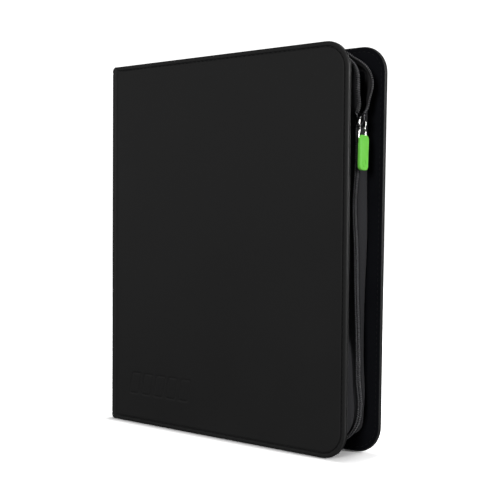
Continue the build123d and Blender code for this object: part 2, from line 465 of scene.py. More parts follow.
def tape():
    """Woven polyester zip tape: ribs across it, broken into a herringbone, and painted shade that darkens it
    under the coil.
    """
    made = new_material("zip_tape", Roughness=0.8, Specular_IOR_Level=0.3, Sheen_Weight=0.04)
    woven = attribute(made, "weave", "Vector")
    split = node(made, "ShaderNodeSeparateXYZ", Vector=woven)
    across, along, from_coil = (split.outputs[i] for i in range(3))
    rib_pitch, strand_pitch = 0.85, 0.55
    slant = plus(made, along, maths(made, "PINGPONG", across, 1.1), 0.55)
    ribs = maths(made, "SINE", maths(made, "MULTIPLY", slant, 2 * math.pi / rib_pitch))
    strands = maths(made, "SINE", maths(made, "MULTIPLY", across, 2 * math.pi / strand_pitch))
    height = plus(made, ribs, strands, 0.4)
    relief(made, height, 0.00008, 0.9)
    shade = plus(made, spread(made, height, -1.4, 1.4, 0.0, 0.7), noise(made, 3.0, 3.0, woven), 0.4)
    # Painted shade: the tape's colour drops near its coil edge, where the coil shades it.
    shade = maths(made, "MULTIPLY", shade, spread(made, from_coil, 2.6, 4.0, 0.1, 1.0))
    tint(made, shade, (0.007, 0.007, 0.0083), (0.046, 0.046, 0.051))
    return made


def coil_nylon():
    """Glossy nylon monofilament."""
    made = new_material("zip_coil", Specular_IOR_Level=0.8)
    tint(made, noise(made, 160.0, 2.0), (0.092, 0.092, 0.098), (0.148, 0.148, 0.156))
    link(made, spread(made, noise(made, 900.0, 3.0), 0.3, 0.7, 0.2, 0.34), "Roughness")
    return made


def metal(name, dark, light):
    """Plated metal with fine scratches."""
    made = new_material(name, Metallic=1.0)
    link(made, spread(made, noise(made, 2500.0, 6.0), 0.35, 0.65, 0.1, 0.24), "Roughness")
    relief(made, noise(made, 700.0, 4.0), 0.00002, 0.35)
    tint(made, noise(made, 250.0, 3.0), dark, light)
    return made


def silicone():
    """Soft bright green silicone."""
    made = new_material(
        "green_silicone",
        Subsurface_Weight=0.12,
        Subsurface_Scale=0.002,
        Subsurface_Radius=(0.5, 1.0, 0.3),
        Specular_IOR_Level=0.25,
    )
    relief(made, noise(made, 3500.0, 3.0), 0.00003, 0.4)
    tint(made, noise(made, 120.0, 3.0), (0.19, 0.72, 0.075), (0.24, 0.85, 0.11))
    link(made, spread(made, noise(made, 400.0, 2.0), 0.3, 0.7, 0.42, 0.58), "Roughness")
    return made


def page_plastic():
    """Black polypropylene sheet with a fine emboss."""
    made = new_material("page_sheet", Roughness=0.5, Specular_IOR_Level=0.35)
    emboss = node(made, "ShaderNodeTexVoronoi", Vector=place(made), Scale=1500.0).outputs["Distance"]
    relief(made, emboss, 0.00004, 0.5)
    tint(made, noise(made, 20.0, 2.0), (0.007, 0.007, 0.008), (0.013, 0.013, 0.0145))
    return made


def clear_film():
    """Clear pocket film: glossy and seen through, but frosted along its welds."""
    made = new_material("clear_film", Base_Color=(0.75, 0.77, 0.8, 1), Specular_IOR_Level=0.5)
    relief(made, noise(made, 60.0, 4.0), 0.0004, 0.35)
    weld = attribute(made, "weld")
    gloss = spread(made, noise(made, 35.0, 3.0), 0.3, 0.7, 0.07, 0.2)
    link(made, plus(made, gloss, weld, 0.4), "Roughness")
    link(made, spread(made, weld, 0.0, 1.0, 0.12, 0.3), "Alpha")
    return made


def grey_board():
    """Recycled grey board with flecks."""
    made = new_material("grey_board", Roughness=0.9, Specular_IOR_Level=0.2)
    flecks = noise(made, 1400.0, 5.0)
    tint(made, flecks, (0.12, 0.115, 0.105), (0.28, 0.27, 0.25))
    relief(made, flecks, 0.0001, 0.6)
    return made


MATERIALS = {
    "cover_leatherette": leatherette(),
    "inner_lining": lining(),
    "black_thread": thread(),
    "zip_tape": tape(),
    "zip_coil": coil_nylon(),
    "slider_metal": metal("slider_metal", (0.035, 0.035, 0.037), (0.06, 0.06, 0.063)),
    "bail_nickel": metal("bail_nickel", (0.72, 0.71, 0.70), (0.86, 0.85, 0.84)),
    "green_silicone": silicone(),
    "page_sheet": page_plastic(),
    "clear_film": clear_film(),
    "grey_board": grey_board(),
}


def dress(node_name, slot):
    """Give a CAD node that stays in view its material."""
    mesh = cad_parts[node_name].data
    mesh.materials.clear()
    mesh.materials.append(MATERIALS[slot])


# ---------------------------------------------------------------- covers

PLAIN_X = lines((PANEL_X, 12), (CORNER_X, 1))
PLAIN_Z = lines((CORNER_RADIUS, 12), (HEIGHT - CORNER_RADIUS, 1))


def splayed(points):
    """The back cover's stand-off: nothing at the spine and the bottom, most at the upper fore corner."""
    moved = np.array(points, float)
    reach = np.clip((moved[:, 0] - LEAN - CREASE_X) / WIDTH, 0, None)
    moved[:, 1] += SPLAY * reach * np.clip(moved[:, 2] / HEIGHT, 0, None) ** 1.3
    return moved


def on_side(side, points, faces):
    """A shape drawn for the front cover, turned into the leaning back cover where it is for that side."""
    if side == "front":
        return points, faces
    moved = np.array(points, float)
    moved[:, 0] += LEAN
    moved[:, 1] = DEPTH - moved[:, 1]
    return splayed(moved), flipped(faces)


def cover_ring(inset, x_lines, z_lines):
    """Ring of points round the three free sides of a cover, drawn in by an inset."""
    radius = CORNER_RADIUS - inset
    turn = np.linspace(0, math.pi / 2, CORNER_STEPS + 2)[1:-1]
    low_arc = side_by_side(CORNER_X + radius * np.sin(turn), CORNER_RADIUS - radius * np.cos(turn))
    return np.concatenate(
        [
            side_by_side(x_lines, inset),
            low_arc,
            side_by_side(WIDTH - inset, z_lines),
            side_by_side(low_arc[::-1, 0], HEIGHT - low_arc[::-1, 1]),
            side_by_side(x_lines[::-1], HEIGHT - inset),
        ]
    )


def ring_on_grid(columns, rows):
    """Which grid point each point of the innermost ring falls on."""
    bottom = list(range(columns))
    side = [row * columns + columns - 1 for row in range(rows)]
    top = [(rows - 1) * columns + column for column in reversed(range(columns))]
    return bottom + side[:1] * CORNER_STEPS + side + side[-1:] * CORNER_STEPS + top


def plate(x_lines, z_lines, profile, near_y, far_y, shape=None):
    """Closed plate of a cover's outline: a near face, an edge that follows the profile, and a far face."""
    columns, rows = len(x_lines), len(z_lines)
    xx, zz = (values.ravel() for values in np.meshgrid(x_lines, z_lines))
    near = side_by_side(xx, near_y, zz)
    if shape is not None:
        near[:, 1] += shape(xx, zz)
    points = [near]
    on_grid = ring_on_grid(columns, rows)
    rings = [on_grid]
    count = len(near)
    for inset, y in profile:
        ring = cover_ring(inset, x_lines, z_lines)
        points.append(side_by_side(ring[:, 0], y, ring[:, 1]))
        rings.append(list(range(count, count + len(ring))))
        count += len(ring)
    points.append(side_by_side(xx, far_y, zz))
    rings.append([i + count for i in on_grid])
    faces = flipped(grid_faces(rows, columns)) + shifted(grid_faces(rows, columns), count)
    for inner, outer in zip(rings[:-1], rings[1:]):
        for i in range(len(inner) - 1):
            corners = list(dict.fromkeys([inner[i], inner[i + 1], outer[i + 1], outer[i]]))
            if len(corners) > 2:
                faces.append(corners)
    for row in range(rows - 1):
        low, high = row * columns, (row + 1) * columns
        faces.append([low, high, count + high, count + low])
    faces.append([ring[0] for ring in rings][::-1])
    faces.append([ring[-1] for ring in rings])
    return np.concatenate(points), faces


def mark_depth(x, z):
    """Pressed mark: a slanted row of plain card outlines."""
    cards, share, corner, slant = 5, 0.36, 2.0, 0.22
    pitch = (MARK_HIGH_X - MARK_LOW_X) / cards
    from_middle = z - (MARK_LOW_Z + MARK_HIGH_Z) / 2
    slanted = x - slant * from_middle
    local = np.mod(slanted - MARK_LOW_X, pitch) - pitch / 2
    qx = np.abs(local) - pitch * share + corner
    qz = np.abs(from_middle) - (MARK_HIGH_Z - MARK_LOW_Z) * share + corner
    distance = np.hypot(np.maximum(qx, 0), np.maximum(qz, 0)) + np.minimum(np.maximum(qx, qz), 0) - corner
    line = 1 - smooth(np.abs(distance), 0.5, 1.25)
    inside = (slanted > MARK_LOW_X) & (slanted < MARK_HIGH_X)
    return MARK_DEPTH * line * inside


def edge_polish_and_painted_highlight(points):
    """How much a cover's edge is rubbed smooth and lit by a painted highlight: most on its outer corner,
    less on its inner one.
    """
    over_x = points[:, 0] - CORNER_X
    over_z = np.abs(points[:, 2] - HEIGHT / 2) - (HEIGHT / 2 - CORNER_RADIUS)
    beyond = np.hypot(np.maximum(over_x, 0), np.maximum(over_z, 0))
    inset = CORNER_RADIUS - beyond - np.minimum(np.maximum(over_x, over_z), 0)
    # Painted highlight: both corner bands are painted lighter by the leatherette, where the lamps'
    # highlights fall on the rim.
    outer_corner = smooth(inset, 0.75, 0.2) * smooth(points[:, 1], 1.2, 0.6)
    inner_corner = smooth(points[:, 1], 2.8, 3.3)
    return np.maximum(2.6 * outer_corner, inner_corner)


def add_cover_piece(side, kind, slot, points, faces, **looks):
    """One cover's own piece, which rides on the cover and stands for the CAD node of the same name."""
    body = f"{side}_cover"
    add_piece(f"{body}_{kind}_look", slot, body, f"{body}_{kind}", points, faces, **looks)


def cover_skin(side):
    """Leatherette skin of one cover, turned round the board's edges."""
    x_lines, z_lines, shape = PLAIN_X, PLAIN_Z, None
    if side == "front":
        x_lines = lines((PANEL_X, 6), (MARK_LOW_X - 4, FINE_STEP), (MARK_HIGH_X + 6, 12), (CORNER_X, 1))
        z_lines = lines((CORNER_RADIUS, FINE_STEP), (MARK_HIGH_Z + 3, 12), (HEIGHT - CORNER_RADIUS, 1))
        shape = mark_depth
    profile = EDGE_PROFILE + PINCH_PROFILE + RIM_PROFILE + ((1.0, SKIN + 0.1),)
    points, faces = plate(x_lines, z_lines, profile, 0.0, SKIN, shape)
    # These edge marks also lighten the leatherette's colour: a painted highlight on the rims.
    marks = {"polish_and_painted_highlight": edge_polish_and_painted_highlight(points)}
    add_cover_piece(side, "skin", "cover_leatherette", *on_side(side, points, faces), marks=marks)


def cover_lining(side):
    """Lining of one cover, laid into the turned edge of the skin and pressed along both seams."""
    low, high = COVER_THICKNESS - SKIN, COVER_THICKNESS
    profile = (
        (1.1, low), (1.1, high - 0.35), (1.25, high - 0.12), (1.6, high), (3.3, high), (3.9, high - 0.14),
        (4.3, high - 0.24), (4.7, high - 0.14), (5.3, high), (12.6, high), (13.0, high - 0.1),
        (13.4, high - 0.22), (13.8, high - 0.1), (14.2, high),
    )
    shape = on_side(side, *plate(PLAIN_X, PLAIN_Z, profile, low, high))
    add_cover_piece(side, "lining", "inner_lining", *shape)


def back_board():
    """Grey board of the back cover, which follows its stand-off."""
    low, high = SKIN + 0.05, COVER_THICKNESS - SKIN - 0.05
    profile = ((1.5, low), (1.3, low + 0.2), (1.3, high - 0.2), (1.5, high))
    shape = on_side("back", *plate(PLAIN_X, PLAIN_Z, profile, low, high))
    add_cover_piece("back", "board", "grey_board", *shape)


def stitch(centre, along, out):
    """One stitch: a short thread that rises from one hole and dives into the next."""
    t = np.linspace(-1, 1, 7)
    rise = 1 - np.abs(t) ** 3
    path = centre + np.outer(t * STITCH_LENGTH / 2, along) + np.outer((rise - 1) * 2.2 * THREAD_RADIUS, out)
    return sweep(path, np.cross(along, out), out, circle(THREAD_RADIUS, 6) * np.array([1.15, 1.0]))


def stitch_places(path):
    """Middle of each stitch along a path, with the direction there."""
    at = lengths_along(path)
    count = int(at[-1] // STITCH_PITCH)
    wanted = (at[-1] - (count - 1) * STITCH_PITCH) / 2 + np.arange(count) * STITCH_PITCH
    near = 0.4
    along = unit(points_at(path, at, wanted + near) - points_at(path, at, wanted - near))
    return zip(points_at(path, at, wanted), along)


def border_path(inset, y):
    """Seam line at an inset from the three free edges of a cover."""
    x_lines = lines((PANEL_X + 1, 20), (CORNER_X, 1))
    z_lines = lines((CORNER_RADIUS, 20), (HEIGHT - CORNER_RADIUS, 1))
    ring = cover_ring(inset, x_lines, z_lines)
    return side_by_side(ring[:, 0], y, ring[:, 1])


def cover_stitching(side):
    """Border seam of one cover, outside and inside, and the seam that holds the zip tape."""
    rows = (
        (BORDER_INSET, 0.5, -1.0),
        (BORDER_INSET, COVER_THICKNESS - 0.2, 1.0),
        (SEAM_INSET - 1.1, COVER_THICKNESS - 0.18, 1.0),
    )
    parts = Parts()
    for inset, y, out in rows:
        for centre, along in stitch_places(border_path(inset, y)):
            parts.add(*stitch(centre, along, np.array([0, out, 0])))
    add_cover_piece(side, "stitching", "black_thread", *on_side(side, parts.all_points(), parts.faces))


# ---------------------------------------------------------------- spine and creases


def sagged(line, z):
    """Heights of a line drawn at height z: its ends sag where the wrap turns round the spine's corners."""
    front = np.hypot(line[:, 0] + SPINE_BELLY, line[:, 1])
    back = np.hypot(line[:, 0] + SPINE_BELLY - LEAN, line[:, 1] - DEPTH)
    drop = 2.6 * (bump_at(front, 0, 2.2) + bump_at(back, 0, 2.2))
    return HEIGHT / 2 + (z - HEIGHT / 2) * (1 - drop / (HEIGHT / 2))


def strip(outer, inner, end_inner, groove):
    """Strip of the given section, as high as the covers, with its ends rounded as the cover edges are.

    groove is how deep the border's sewing groove may go at each point of the outer line. Returns the
    points, the faces and the kind of each face: 0 outside and 1 inside.
    """
    round_end = 0.9
    groove_low, groove_high = 3.0, 5.6
    low = list(EDGE_PROFILE[::-1])
    low.insert(-1, (5.9, 0.0))
    middle = [(z, 0.0) for z in np.linspace(12, HEIGHT - 12, 14)]
    high = [(HEIGHT - inset, depth) for inset, depth in low[::-1]]
    sections = []
    for z, depth in low + middle + high:
        inset = min(z, HEIGHT - z)
        inside = end_inner if inset < round_end else inner
        across = inside - outer
        thickness = np.linalg.norm(across, axis=1, keepdims=True)
        into = across / thickness
        deepest = groove[:, None] if groove_low < inset < groove_high else 0.4 * thickness
        near = outer + into * np.minimum(depth, deepest)
        round_in = round_end * (1 - min(inset, round_end) / round_end) ** 2
        far = inside - into * np.minimum(round_in, 0.3 * thickness)
        near = np.column_stack([near, sagged(outer, z)])
        far = np.column_stack([far, sagged(inside, z)])
        sections.append(np.concatenate([near, far[::-1]]))
    columns, half = len(sections[0]), len(outer)
    faces = grid_faces(len(sections), columns, wrap=True)
    kinds = [0 if i % columns < half - 1 else 1 for i in range(len(faces))]
    for base, flip in ((0, True), ((len(sections) - 1) * columns, False)):
        for i in range(half - 1):
            quad = [base + i, base + i + 1, base + columns - 2 - i, base + columns - 1 - i]
            faces.append(quad[::-1] if flip else quad)
            kinds.append(0)
    return np.concatenate(sections), faces, kinds


def crease_section():
    """Outer and inner line of the front crease in x and y, from the cover to the spine."""
    x = np.linspace(PANEL_X, SPINE_EDGE_X, 25)
    valley = 0.95 * bump_at(x, CREASE_X + 0.1, 1.15)
    outer = side_by_side(x - SPINE_BELLY * smooth(x, PANEL_X, SPINE_EDGE_X), valley)
    inner_x = [SPINE_EDGE_X, 3.4, 4.2, 5.2, 6.2, 6.9, PANEL_X]
    inner_y = [0.85, 1.2, 1.95, 2.2, 3.2, 3.7, 3.79]
    return outer, side_by_side(x, np.interp(x, inner_x, inner_y))


def crease(side):
    """Crease between the spine and one cover: leatherette outside, lining inside."""
    outer, inner = crease_section()
    groove = np.clip(GROOVE_DEPTH - outer[:, 1], 0.1, GROOVE_DEPTH)
    points, faces, kinds = strip(outer, inner, inner, groove)
    points, faces = on_side(side, points, flipped(faces))
    ends, _ = on_side(side, np.array([[3.2, 1.0, 150.0], [6.6, 1.0, 150.0]]), [])
    materials = [MATERIALS["cover_leatherette"], MATERIALS["inner_lining"]]
    made = add_mesh(f"{side}_crease", points, faces, materials, face_materials=kinds)
    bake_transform(made)


def spine_line(offset, belly=0.0):
    """Line of the spine's skin in x and y, from the front crease to the back one, drawn in by an offset."""
    turn = np.linspace(0, math.pi / 2, 9)
    front_arc = SPINE_RADIUS - SPINE_RADIUS * side_by_side(np.sin(turn), np.cos(turn))
    flat = side_by_side(0, np.linspace(SPINE_RADIUS, DEPTH - SPINE_RADIUS, 14)[1:-1])
    back_arc = side_by_side(front_arc[::-1, 0], DEPTH - front_arc[::-1, 1])
    line = np.concatenate([[[SPINE_EDGE_X, 0]], front_arc, flat, back_arc, [[SPINE_EDGE_X, DEPTH]]])
    line[:, 0] += LEAN * line[:, 1] / DEPTH - belly
    along = unit(np.gradient(line, axis=0))
    return line + offset * side_by_side(along[:, 1], -along[:, 0])


def spine_wrap():
    """Leatherette skin of the spine, turned over the spine board at both ends."""
    outer = spine_line(0, SPINE_BELLY)
    inner = spine_line(SKIN)
    end_inner = spine_line(3.4)
    end_inner[:, 1] = np.clip(end_inner[:, 1], SKIN, DEPTH - SKIN)
    end_inner[[0, -1]] = inner[[0, -1]]
    points, faces, _ = strip(outer, inner, end_inner, np.full(len(outer), 0.4 * SKIN))
    add_piece("spine_skin_look", "cover_leatherette", "spine", "spine_skin", points, faces)


def spine_stitching():
    """Seam along the top and the bottom of the spine."""
    parts = Parts()
    line = spine_line(0.4, SPINE_BELLY)
    for z in (BORDER_INSET, HEIGHT - BORDER_INSET):
        for centre, along in stitch_places(side_by_side(*line.T, z)):
            parts.add(*stitch(centre, along, np.array([-along[1], along[0], 0.0])))
    add_piece("spine_stitching", "black_thread", "spine", None, parts.all_points(), parts.faces)


# ---------------------------------------------------------------- zip


class ZipHalf:
    """Where one half of the zip runs: its sewn edge, its free edge and the tape between them."""

    def __init__(self, side):
        self.side = side
        self.front = side == "front"
        self.sign = 1.0 if self.front else -1.0
        # The parted zip: how far its halves draw apart, the tape's tilt at the coil in degrees, and how
        # far out and in the tape's first control point lies, as shares of its gap and depth
        self.draw_apart, self.tilt, self.out_share, self.in_share = (
            (3.4, 84, 0.15, 0.8) if self.front else (2.0, 46, 0.3, 0.35)
        )
        self.stations()

    def stations(self):
        """Base line of the zip, station by station, from the spine's bottom to its top."""
        run = np.linspace(ZIP_START, ZIP_CORNER_X, 60)
        turn = np.linspace(-math.pi / 2, 0, 22)
        rise = np.linspace(ZIP_LOW, ZIP_HIGH, 150)
        rows = np.concatenate(
            [
                side_by_side(run, ZIP_LOW, -math.pi / 2),
                side_by_side(ZIP_CORNER_X, ZIP_LOW, turn)[1:],
                side_by_side(ZIP_CORNER_X, rise, 0.0)[1:],
                side_by_side(ZIP_CORNER_X, ZIP_HIGH, -turn[::-1])[1:],
                side_by_side(run[::-1], ZIP_HIGH, math.pi / 2)[1:],
            ]
        )
        self.base, self.angle = rows[:, :2], rows[:, 2]
        self.out = side_by_side(np.cos(self.angle), np.sin(self.angle))
        self.height = self.base[:, 1] + ZIP_RADIUS * np.sin(self.angle)
        self.reach = self.base[:, 0]
        self.open = smooth(self.height, SLIDER_Z + 2, SLIDER_Z + 15)
        self.apart = smooth(self.height, SLIDER_Z + 3, SLIDER_Z + 25)
        self.parted = smooth(self.height, SLIDER_Z - 3, SLIDER_Z + 7)
        self.near_spine = smooth(self.reach, 100, ZIP_START)
        self.bulge = smooth(self.height, 112, 72) * (1 - self.open)

    def loose(self):
        """How far out the parted zip stands above the slider and round the upper corner."""
        height, corner = self.height, np.degrees(self.angle)
        if self.front:
            return 6.4 * smooth(height, SLIDER_Z + 1, SLIDER_Z + 14) * (1 - smooth(corner, 15, 85))
        rise = 6.6 * smooth(height, SLIDER_Z, SLIDER_Z + 13)
        rise = rise + 2.9 * smooth(height, SLIDER_Z + 14, SLIDER_Z + 30)
        rise = rise - 6.6 * smooth(corner, 0, 60) + 2.4 * smooth(corner, 55, 90)
        return rise * (1 - smooth(self.reach, 230, 60))

    def free_edge(self):
        """Middle of the coil: (x, z) and depth."""
        height = self.height
        up = smooth(self.angle, math.radians(-90), math.radians(-5))
        low_run, foot = smooth(height, *LOW_RUN), bump_at(height, *FOOT)
        wave = -2.4 * bump_at(height, *WAIST) + 1.2 * low_run + 1.0 * foot
        closed = (wave * up + 1.0 * (1 - up)) * (1 - self.parted)
        radius = ZIP_RADIUS + (closed + self.loose())
        apart = 2.6 * self.parted + self.draw_apart * self.apart
        offset = CLOSED_OFFSET + apart * (1 - 0.75 * self.near_spine)
        chain_y = MIDDLE_Y + (2.7 * low_run + 2.2 * foot) * up
        return self.base + self.out * radius[:, None], chain_y - self.sign * offset

    def sewn_edge(self):
        """Seam on the cover's lining: (x, z) and depth."""
        share = (self.reach - ZIP_START) / (ZIP_CORNER_X - ZIP_START)
        x = ZIP_START + share * (CORNER_X - ZIP_START)
        rise = (self.base[:, 1] - ZIP_LOW) / (ZIP_HIGH - ZIP_LOW)
        z = CORNER_RADIUS + rise * (HEIGHT - 2 * CORNER_RADIUS)
        place = side_by_side(x, z) + self.out * (CORNER_RADIUS - SEAM_INSET)
        depth = COVER_THICKNESS + 0.15
        if self.front:
            return place, np.full(len(place), depth)
        place[:, 0] += LEAN
        return place, splayed(side_by_side(place[:, 0], DEPTH - depth, place[:, 1]))[:, 1]

    def swell(self, gap):
        """How far the tape stands out as it leaves the seam; the closed zip bulges near the foot."""
        if self.front:
            return 0.1 * gap * (1 - self.bulge) + (0.8 * gap + 5.5) * self.bulge
        return gap * 0.3 + 6.5 * bump_at(self.height, 197, 48) + 4.0 * bump_at(self.height, 62, 18)

    def section(self, u):
        """Middle line of the tape at share u of the way from the seam to the coil: points and directions.

        The line is a curve with two control points, drawn in (out, depth) from the seam.
        """
        seam, seam_y = self.sewn_edge()
        free, free_y = self.free_edge()
        gap = np.sum((free - seam) * self.out, axis=1)
        depth = np.abs(free_y - seam_y)
        tilt = math.radians(self.tilt) * self.open * (1 - self.near_spine)
        end = side_by_side(gap - TAPE_SHORT, depth)
        back_off = 0.55 * depth * (1 - self.bulge) if self.front else 0.0
        first = side_by_side(self.swell(gap), 0.6 + back_off)
        first_open = side_by_side(gap * self.out_share, depth * self.in_share)
        first = first * (1 - self.open[:, None]) + first_open * self.open[:, None]
        pull = 0.38 * np.hypot(gap, depth) * (0.6 + 0.4 * self.open)
        second = end - side_by_side(np.sin(tilt), np.cos(tilt)) * pull[:, None]
        if self.front:
            sunk = (1 - self.open) * (1 - self.bulge)
            second[:, 0] -= 1.0 * self.bulge + 0.85 * gap * sunk
            second[:, 1] += 0.2 * depth * sunk
        flat = 3 * u * (1 - u) ** 2 * first + 3 * u * u * (1 - u) * second + u**3 * end
        dip = 3.6 * self.bulge if self.front else 0.8
        flat[:, 0] -= dip * bump_at(u, 0.85, 0.08) * (1 - self.open)
        place = seam + (free - seam - self.out * gap[:, None]) * u + self.out * flat[:, 0:1]
        across = self.out * np.sin(tilt)[:, None]
        return (
            side_by_side(place[:, 0], seam_y + self.sign * flat[:, 1], place[:, 1]),
            side_by_side(across[:, 0], self.sign * np.cos(tilt), across[:, 1]),
        )

    def coil_frame(self):
        """Middle of the coil with the directions along, across and out of the tape."""
        edge, across = self.section(1.0)
        along = unit(np.gradient(edge, axis=0))
        out = self.sign * unit(np.cross(across, along))
        return edge, along, self.sign * unit(np.cross(along, out)), out


def resample(path, step, *directions):
    """Lengths and points at an even step along a path, with the directions that go with it."""
    at = lengths_along(path)
    wanted = np.arange(0, at[-1], step)
    return (wanted, points_at(path, at, wanted), *[unit(points_at(d, at, wanted)) for d in directions])


def zip_tape(half):
    """Woven tape from the seam on the lining to the coil, with its cut size."""
    edge, _, across, _ = half.coil_frame()
    lines_along = [half.section(u)[0] for u in np.linspace(0, 1, 17)]
    flange = lines_along[0].copy()
    flange[:, [0, 2]] -= half.out * FLANGE
    grid = np.stack([flange, *lines_along, edge + across * 0.9], axis=1)
    rows, columns = grid.shape[:2]
    steps = np.linalg.norm(np.diff(grid, axis=1), axis=2)
    across_length = np.pad(np.cumsum(steps, axis=1), ((0, 0), (1, 0)))
    along_length = lengths_along(grid[:, columns // 2])
    from_coil = across_length[:, -1:] - across_length
    weave = side_by_side(across_length, along_length[:, None], from_coil)
    faces = grid_faces(rows, columns)
    if half.front:
        faces = flipped(faces)
    body, points = f"{half.side}_cover", grid.reshape(-1, 3)
    node_name = f"{half.side}_zip_tape"
    made = add_piece(f"{node_name}_look", "zip_tape", body, node_name, points, faces, sharp=60, weave=weave)
    thick = made.modifiers.new("thickness", "SOLIDIFY")
    thick.thickness = TAPE_THICKNESS * MM
    thick.offset = -1


def squared_off(swing, power):
    """Cosine or sine that stays longer near its limits."""
    return np.sign(swing) * np.abs(swing) ** power


def zip_coil(half):
    """Spiral of nylon teeth sewn along the free edge of the tape."""
    edge, *directions = half.coil_frame()
    at, path, along, across, out = resample(edge, COIL_PITCH / 12, *directions)
    phase = 2 * math.pi * at / COIL_PITCH + (0.0 if half.front else math.pi)
    swing = squared_off(np.cos(phase), 0.8) * COIL_HALF_WIDTH
    lift = squared_off(np.sin(phase), 0.8) * COIL_HALF_HEIGHT
    middle = path + out * (COIL_HALF_HEIGHT + COIL_WIRE + 0.15)
    wire = middle + across * swing[:, None] + out * lift[:, None]
    shape = tube(wire, COIL_WIRE, 6, along)
    node_name = f"{half.side}_zip_coil"
    add_piece(f"{node_name}_look", "zip_coil", f"{half.side}_cover", node_name, *shape, sharp=180)


def coil_sewing(half):
    """Two rows of thread that hold the coil on the tape."""
    edge, *directions = half.coil_frame()
    at, path, _, across, out = resample(edge, COIL_PITCH / 4, *directions)
    parts = Parts()
    top = 2 * COIL_HALF_HEIGHT + 2 * COIL_WIRE + 0.12
    for shift, phase in ((-0.95, 0.0), (-0.35, math.pi)):
        wave = 0.09 * np.sin(2 * math.pi * at / COIL_PITCH + phase)
        line = path + across * shift + out * (top + wave)[:, None]
        parts.add(*sweep(line, across, out, circle(0.17, 5)))
    shape = (parts.all_points(), parts.faces)
    add_piece(f"{half.side}_coil_sewing", "black_thread", f"{half.side}_cover", None, *shape, sharp=180)


def end_tabs():
    """Folded fabric tabs that close both ends of the zip at the spine."""
    low, high = box_mm("zip_end_tabs")
    half_x, half_y, _ = (high - low) / 2
    centre_x, centre_y, _ = (high + low) / 2

    def outline(inset):
        """Rounded oblong in x and y."""
        turn = np.linspace(0, 2 * math.pi, 33)[:-1]
        x = squared_off(np.cos(turn), 0.35) * (half_x - inset)
        y = squared_off(np.sin(turn), 0.35) * (half_y - inset)
        return side_by_side(x, y)

    profile = (
        (1.6, -0.7), (0.6, -0.72), (0.15, -0.5), (0, 0), (0.15, 0.5), (0.6, 0.72), (1.2, 0.62), (1.6, 0.78),
    )
    parts = Parts()
    for z in (low[2] + 0.8, high[2] - 0.8):
        points, faces = ring_solid(outline, profile)
        points[:, 2] += 0.25 * np.sin(points[:, 1] * 0.55)
        parts.add(points + np.array([centre_x, centre_y, z]), faces)
    points = parts.all_points()
    looks = {"sharp": 50, "weave": points}
    add_piece("zip_end_tabs_look", "zip_tape", "spine", "zip_end_tabs", points, parts.faces, **looks)


# ---------------------------------------------------------------- slider and pull


def slider_half_width(z):
    """Half width of the slider at a height from its centre."""
    return 4.4 + 2.55 * smooth(z, -4.5, 5.0)


def slider_outline(inset):
    """Outline of a slider plate in depth and height: a narrow neck, wide shoulders and a notched top."""
    z = np.linspace(-SLIDER_HALF_HEIGHT, SLIDER_HALF_HEIGHT, 27)
    ends = np.clip((SLIDER_HALF_HEIGHT - np.abs(z)) / 2.2, 0, 1)
    half = slider_half_width(z) * (0.72 + 0.28 * np.sqrt(1 - (1 - ends) ** 2)) - inset
    z = z * (1 - inset / SLIDER_HALF_HEIGHT)
    notch_y = np.linspace(half[-1], -half[-1], 11)[1:-1]
    notch_z = z[-1] - 0.9 * np.cos(notch_y / half[-1] * math.pi / 2) ** 2
    base_y = np.linspace(-half[0], half[0], 7)[1:-1]
    return np.concatenate(
        [
            side_by_side(half, z),
            side_by_side(notch_y, notch_z),
            side_by_side(-half[::-1], z[::-1]),
            side_by_side(base_y, z[0]),
        ]
    )


def slider_flange(side, level):
    """Curved side wall of the slider, above or below the tape slot."""
    z = np.linspace(-6.1, 6.1, 25)
    centre = side_by_side(level * WALL_X, side * (slider_half_width(z) - 0.75), z)
    section = ((0.5, -0.5), (0.55, 0.3), (0.4, 0.55), (-0.4, 0.55), (-0.55, 0.3), (-0.5, -0.5))
    return sweep(centre, ALONG_Y, ALONG_X * level, section)


def slider_bridge():
    """Arched strap on the slider's outer plate, which the wire pull hangs in."""
    foot, rise, half_span, centre_z = 2.6, 4.1, 5.2, -0.1
    turn = np.linspace(0, math.pi, 25)
    path = side_by_side(foot + rise * np.sin(turn) ** 0.62, 0.0, centre_z - half_span * np.cos(turn))
    along = unit(np.gradient(path, axis=0))
    section = (
        (-1.5, -0.3), (-1.25, -0.6), (1.25, -0.6), (1.5, -0.3),
        (1.5, 0.3), (1.2, 0.62), (-1.2, 0.62), (-1.5, 0.3),
    )
    return sweep(path, ALONG_Y, np.cross(along, ALONG_Y), section)


def slider():
    """Die-cast slider with its bridge."""
    profile = ((0.35, 1.6), (0.0, 1.85), (0.0, 2.5), (0.25, 2.85), (0.7, 3.03), (1.6, 3.05))
    parts = Parts()
    for level in (1.0, -1.0):
        points, faces = ring_solid(slider_outline, profile)
        points = points[:, [2, 0, 1]] * np.array([level, 1, 1])
        parts.add(points, faces if level > 0 else flipped(faces))
        for side in (1.0, -1.0):
            parts.add(*slider_flange(side, level))
    post = ((0.0, -0.4), (2.0, 5.6), (1.2, 6.1), (-1.2, 6.1), (-2.0, 5.6))
    parts.add(*sweep([[-1.8, 0, 0], [1.8, 0, 0]], ALONG_Y, ALONG_Z, post))
    parts.add(*slider_bridge())
    shape = (parts.all_points() + SLIDER_CENTRE, parts.faces)
    made = add_piece("slider_body_look", "slider_metal", "slider", "slider_body", *shape, sharp=35)
    soften = made.modifiers.new("soften", "BEVEL")
    soften.width = 0.12 * MM
    soften.segments = 2
    soften.limit_method = "ANGLE"


def pull_points(points):
    """Points of the pull, drawn about the bail's top and hung a little askew."""
    x, y, z = np.asarray(points, float).T
    c, s = math.cos(PULL_LEAN), math.sin(PULL_LEAN)
    return side_by_side(x, c * y + s * z, -s * y + c * z) + np.array([BAIL_X, MIDDLE_Y, BAIL_TOP])


